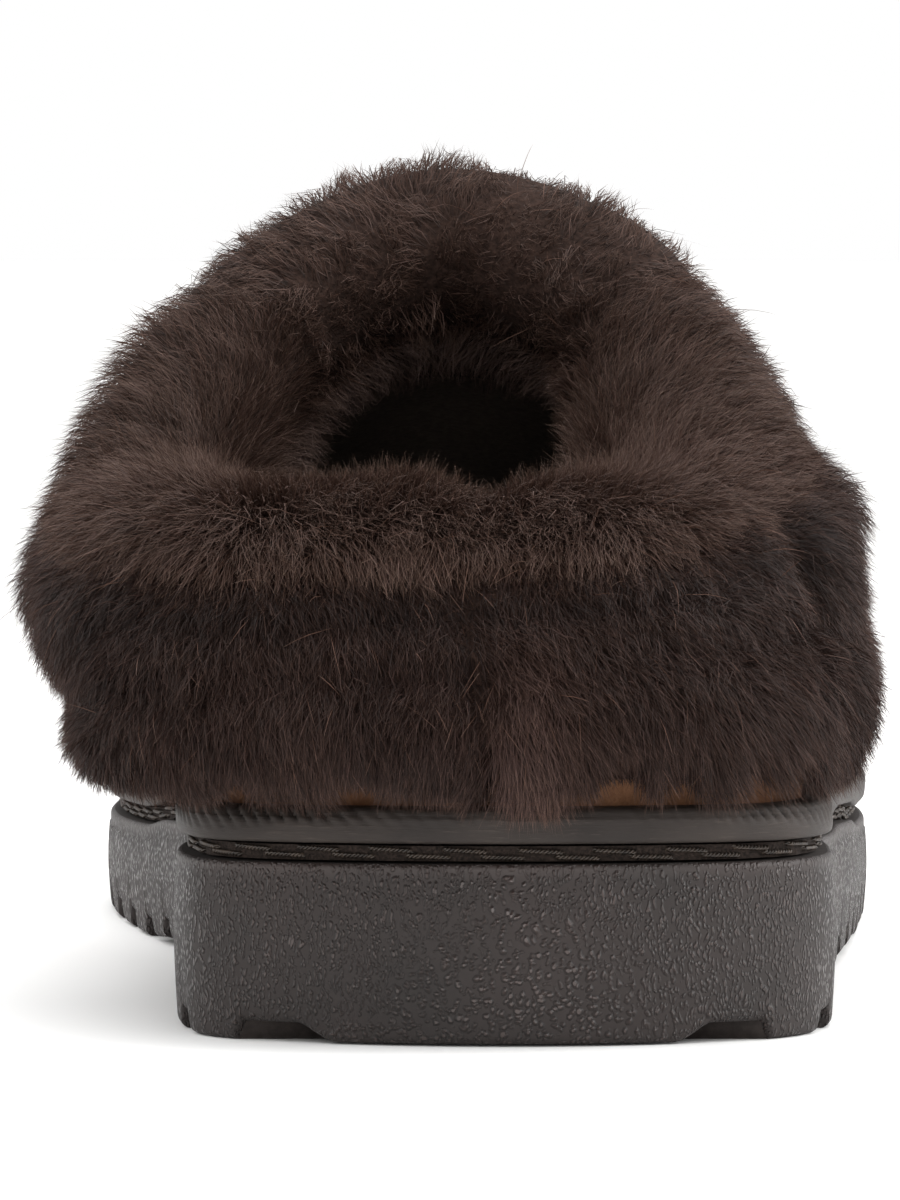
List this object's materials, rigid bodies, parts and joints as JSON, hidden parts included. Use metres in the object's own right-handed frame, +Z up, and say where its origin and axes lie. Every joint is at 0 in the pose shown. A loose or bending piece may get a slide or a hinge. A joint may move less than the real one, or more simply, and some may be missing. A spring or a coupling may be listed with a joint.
{
  "type": "scuff slipper",
  "caption": "Right-foot platform slipper with a wide fur collar round a low back, a closed suede toe, a rand and a moulded foam sole with cross grooves.",
  "frame": {"origin": "on the floor under the middle of the heel, on the tread lug that rests there", "axes": "+Y from heel to toe, +X towards the little toe of this right shoe, +Z up"},
  "size_m": [0.1088, 0.2722, 0.101],
  "materials": {
    "sole": "satin moulded leather grain",
    "midsole": "dull, stitched over",
    "rand": "fine nap",
    "insole": "deep pile",
    "upper": "suede nap",
    "collar": "long fur pile"
  },
  "bodies": {
    "root": {"sole": "sole", "midsole": "midsole", "rand": "rand", "insole": "insole", "upper": "upper", "collar": "collar"}
  },
  "joints": []
}
